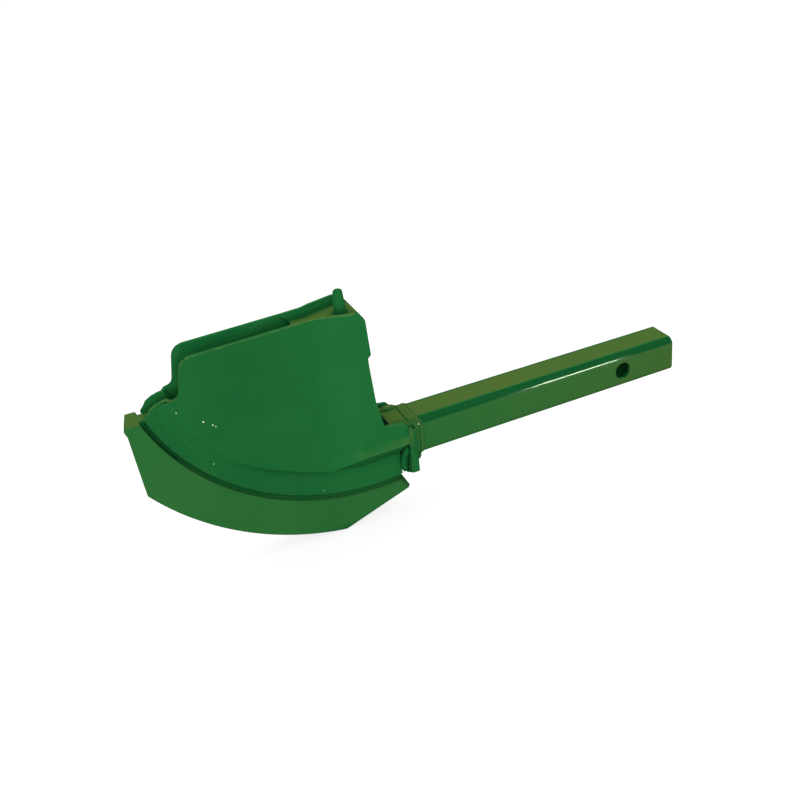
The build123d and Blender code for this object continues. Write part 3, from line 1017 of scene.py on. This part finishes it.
@dataclass
class JoggleFairing:
    """The filler that eases the front of a cheek's joggle, from the rim to where it runs out.

    Attributes:
        side: which side of the coulter.
        angles: its first and last angle about the arc's centre, in degrees.
        far_start: how many degrees later the far side's begins.
        inner: the radius of its edge on the panel.
        widths: its radial width where it is narrowest and widest.
        run_out: the share of its length over which it narrows to its rear end.
        lead: its share of the full width at the front, and how fast that grows.
        levels: the panel's and the band's distance from the middle plane.
        lift: how far it stands off the sheet.
        thickness: how deep it reaches into the sheet.
        segments: the faces along it and across it.
    """

    side: Side
    angles: tuple = (199.35, 247.0)
    far_start: float = 3.2
    inner: float = 141.2 * MM
    widths: tuple = (2.9 * MM, 12.5 * MM)
    run_out: float = 0.55
    lead: tuple = (0.75, 2.5)
    levels: tuple = (12.3 * MM, 8.0 * MM)
    lift: float = 0.03 * MM
    thickness: float = 1.2 * MM
    segments: tuple = (120, 10)

    def build(self, material: bpy.types.Material) -> None:
        """Bends a flat grid to the joggle.

        Args:
            material: the finish.
        """
        bm = bmesh.new()
        bmesh.ops.create_grid(
            bm, x_segments=self.segments[0], y_segments=self.segments[1], size=0.5
        )
        for vert in bm.verts:
            vert.co = self.place(vert.co.x + 0.5, vert.co.y + 0.5)
        bmesh.ops.recalc_face_normals(bm, faces=bm.faces)
        faces = list(bm.faces)
        outward = sum(face.normal.y for face in faces) * self.side.value
        if outward < 0.0:
            bmesh.ops.reverse_faces(bm, faces=faces)
        bmesh.ops.solidify(bm, geom=faces, thickness=self.thickness)
        bmesh.ops.recalc_face_normals(bm, faces=bm.faces)
        finished(bm, f"{self.side.word}_joggle_fairing", material, smooth=50.0)

    def place(self, along: float, across: float) -> Vector:
        """A point of the fairing's outer face.

        Args:
            along: the share of the way from its front end.
            across: the share of the way from its edge on the panel.

        Returns:
            The point in metres.
        """
        first, last = self.angles
        if self.side is Side.FAR:
            first += self.far_start
        turn = math.radians(first + (last - first) * along)
        fade = min((1.0 - along) / self.run_out, 1.0)
        fade = fade * fade * (3.0 - 2.0 * fade)
        lead = min(self.lead[0] + along * self.lead[1], 1.0)
        narrow, wide = self.widths
        width = narrow + (wide - narrow) * fade * lead
        radius = self.inner + width * across
        ease = across * across * (3.0 - 2.0 * across)
        high, low = self.levels
        off = high + (low - high) * ease + self.lift
        return ARC_CENTRE + Vector(
            (radius * math.cos(turn), self.side.value * off, radius * math.sin(turn))
        )


@dataclass
class HosePost:
    """The upright post, turned with a domed top and shallow flutes.

    Attributes:
        low_radius: its radius at the foot.
        high_radius: its radius at the top, before it is domed.
        dome: how far the dome's rounding reaches.
        dome_steps: the faces across the dome's rounding.
        sharp: edges on top that turn by more than this angle are rounded, in radians.
        sides: the points round it.
        flutes: how many flutes run up it.
        flute_depth: their depth as a share of the radius.
    """

    low_radius: float = 4.4 * MM
    high_radius: float = 3.1 * MM
    dome: float = 2.2 * MM
    dome_steps: int = 6
    sharp: float = 1.0
    sides: int = 60
    flutes: int = 8
    flute_depth: float = 0.07

    def build(self, material: bpy.types.Material) -> None:
        """Builds the post.

        Args:
            material: the finish.
        """
        low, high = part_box("hose_post")
        centre = (low + high) / 2
        bm = bmesh.new()
        bmesh.ops.create_cone(
            bm,
            cap_ends=True,
            segments=self.sides,
            radius1=self.low_radius,
            radius2=self.high_radius,
            depth=high.z - low.z,
        )
        rim = [
            edge
            for edge in bm.edges
            if all(vert.co.z > 0.0 for vert in edge.verts)
            and edge.calc_face_angle(0.0) > self.sharp
        ]
        bevelled(bm, rim, self.dome, self.dome_steps)
        for vert in bm.verts:
            around = math.atan2(vert.co.y, vert.co.x)
            share = 1.0 + self.flute_depth * math.cos(self.flutes * around)
            vert.co.x *= share
            vert.co.y *= share
        bmesh.ops.translate(bm, verts=bm.verts, vec=centre)
        piece = finished(bm, "post", material, smooth=40.0)
        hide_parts("hose_post")


@dataclass
class Spatter:
    """Small beads of weld spatter and chips on the near side, pale as painted highlights (glints).

    Attributes:
        places: where they sit, each with its size as the fourth number, all in millimetres.
        flatness: their height as a share of their width.
    """

    places: tuple = (
        (-343.2, -12.0, 74.1, 0.55),
        (-327.9, -12.4, 62.3, 0.70),
        (-322.4, -12.4, 58.1, 0.60),
        (-320.7, -12.4, 56.4, 0.50),
        (-218.0, -18.1, 31.9, 0.50),
        (-216.6, -18.1, 30.7, 0.45),
        (-215.1, -18.1, 29.1, 0.50),
        (-326.3, -8.1, 26.5, 0.35),
        (-254.3, -8.1, -22.8, 0.35),
        (-180.1, -17.0, 12.6, 0.65),
        (-188.4, -12.0, -23.9, 0.45),
        (-186.3, -12.0, -28.8, 0.45),
    )
    flatness: float = 0.6

    def build(self, material: bpy.types.Material) -> None:
        """Builds all the grains as one piece.

        Args:
            material: the finish.
        """
        bm = bmesh.new()
        scale = Matrix.Diagonal((1.0, self.flatness, 1.0, 1.0))
        for *place, size in self.places:
            put = Matrix.Translation(Vector(place) * MM)
            bmesh.ops.create_icosphere(bm, subdivisions=2, radius=size * MM, matrix=put @ scale)
        finished(bm, "weld_spatter", material, smooth=60.0)


@dataclass(frozen=True)
class Lamp:
    """A rectangular lamp.

    Attributes:
        name: its name.
        place: where it hangs.
        aim: the point that it faces.
        size: its width and height.
        watts: its power.
        colour: its colour.
        diffuse: whether it lights dull surfaces too.
    """

    name: str
    place: tuple
    aim: tuple
    size: tuple
    watts: float
    colour: tuple = (1.0, 1.0, 1.0)
    diffuse: bool = True

    def hang(self) -> None:
        """Adds the lamp to the scene."""
        data = bpy.data.lights.new(self.name, "AREA")
        data.shape = "RECTANGLE"
        data.size, data.size_y = self.size
        data.energy = self.watts
        data.color = self.colour
        lamp = bpy.data.objects.new(self.name, data)
        direction = Vector(self.place) - Vector(self.aim)
        turn = direction.to_track_quat("Z", "Y").to_matrix().to_4x4()
        lamp.matrix_world = Matrix.Translation(self.place) @ turn
        lamp.visible_diffuse = self.diffuse
        bpy.context.scene.collection.objects.link(lamp)


@dataclass
class Stage:
    """Camera, floor, lamps and world.

    Attributes:
        camera_place: the camera's place.
        azimuth: the camera's turn about Z, in degrees; 0 looks along +Y.
        elevation: its height over the horizon, in degrees.
        roll: its turn about its own axis, in degrees.
        lens: the focal length, in millimetres.
        shift: the shift that the framing needs, as shares of the frame.
        sensor: the width of the camera's sensor, in millimetres.
        clip: the nearest and the farthest distance that it sees.
        ambient: the strength of the even light from all round.
        floor_size: half the floor's width.
        floor_drop: how far it lies below the runner.
        floor_colour: its colour.
        floor_glow: the strength of its white where it is seen directly.
        lamps: the lamps; the strip makes the streak of light on the shank's rounding.
    """

    camera_place: tuple = (-0.4006, -0.5818, 0.3877)
    azimuth: float = -23.891
    elevation: float = 24.472
    roll: float = -4.821
    lens: float = 43.84
    shift: tuple = (-0.0566, -0.1293)
    sensor: float = 36.0
    clip: tuple = (0.01, 50.0)
    ambient: float = 0.75
    floor_size: float = 12.0
    floor_drop: float = 0.2 * MM
    floor_colour: tuple = (0.35, 0.35, 0.34, 1.0)
    floor_glow: float = 0.75
    lamps: tuple = (
        Lamp("top", (-0.2, 0.3, 1.6), (-0.15, 0.0, 0.0), (1.6, 1.6), 6.0),
        Lamp("front", (-0.7, -1.4, 0.5), (-0.15, 0.0, 0.0), (1.2, 0.8), 12.0),
        Lamp(
            "strip", (0.52, -1.10, 0.12), (-0.03, 0.0, 0.0), (0.17, 0.03), 5.6,
            colour=(0.74, 1.0, 0.60), diffuse=False,
        ),
    )

    def camera(self) -> None:
        """Places the camera."""
        turn = Matrix.Rotation(math.radians(self.azimuth), 4, "Z")
        tilt = Matrix.Rotation(math.radians(90.0 - self.elevation), 4, "X")
        roll = Matrix.Rotation(math.radians(self.roll), 4, "Z")
        data = bpy.data.cameras.new("camera")
        data.sensor_width = self.sensor
        data.lens = self.lens
        data.shift_x, data.shift_y = self.shift
        data.clip_start, data.clip_end = self.clip
        camera = bpy.data.objects.new("camera", data)
        camera.matrix_world = Matrix.Translation(self.camera_place) @ turn @ tilt @ roll
        bpy.context.scene.collection.objects.link(camera)
        bpy.context.scene.camera = camera

    def floor(self) -> None:
        """Lays the pale floor under the runner."""
        low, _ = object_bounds()
        bm = bmesh.new()
        under = Matrix.Translation((0.0, 0.0, low.z - self.floor_drop))
        bmesh.ops.create_grid(bm, x_segments=1, y_segments=1, size=self.floor_size, matrix=under)
        mesh = bpy.data.meshes.new("floor")
        bm.to_mesh(mesh)
        bm.free()
        floor = bpy.data.objects.new("floor", mesh)
        bpy.context.scene.collection.objects.link(floor)
        floor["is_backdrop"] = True
        graph = Graph(bpy.data.materials.new("pale_floor"))
        seen = self._seen(graph)
        diffuse = graph.node("ShaderNodeBsdfDiffuse", {}, {"Color": self.floor_colour})
        glow = graph.node("ShaderNodeEmission", {}, {"Strength": seen * self.floor_glow})
        both = graph.node("ShaderNodeAddShader", {}, {0: diffuse, 1: glow})
        graph.show(both)
        mesh.materials.append(graph.owner)

    def _seen(self, graph: Graph) -> Shade:
        """One for rays that show the background as it is, and zero for others."""
        rays = [
            graph.node("ShaderNodeLightPath", {}, {}, name)
            for name in ("Is Camera Ray", "Is Glossy Ray", "Is Transmission Ray")
        ]
        return (rays[0] + rays[1] + rays[2]).clamped()

    def world(self) -> None:
        """Sets the even light, and white for what is seen directly."""
        world = bpy.data.worlds.new("studio")
        bpy.context.scene.world = world
        graph = Graph(world)
        strength = self._seen(graph) * (1.0 - self.ambient) + self.ambient
        background = graph.node(
            "ShaderNodeBackground", {}, {"Color": (1.0, 1.0, 1.0, 1.0), "Strength": strength}
        )
        graph.show(background, "ShaderNodeOutputWorld")

    def build(self) -> None:
        """Builds the whole stage."""
        self.camera()
        self.floor()
        self.world()
        for lamp in self.lamps:
            lamp.hang()
        bpy.context.scene.view_settings.view_transform = "Standard"


def main() -> None:
    """Builds the coulter's looks and the stage."""
    logging.basicConfig(level=logging.INFO, format="%(name)s %(message)s")
    PlateWork().build()
    WeldWork().build()
    # Painted light: the fairings' base is a little lighter than the sheets', for the lighter band
    # along the joggle.
    easing = GreenEnamel(
        "fairing_enamel", base=(0.0125, 0.166, 0.0415, 1.0), film_up=0.3, front_shade=0.13,
        mottle=0.16,
    ).build()
    for side in Side:
        JoggleFairing(side).build(easing)
    HosePost().build(GreenEnamel("post_enamel", film_up=0.10, grime=0.7).build())
    # Painted highlights: the grains are pale so that they show as glints of light.
    glint_finish = GreenEnamel(
        "bright_enamel", base=(0.75, 0.80, 0.62, 1.0), film_side=0.0, film_up=0.0, grime=0.0
    )
    Spatter().build(glint_finish.build())
    Stage().build()


if __name__ == "__main__":
    main()
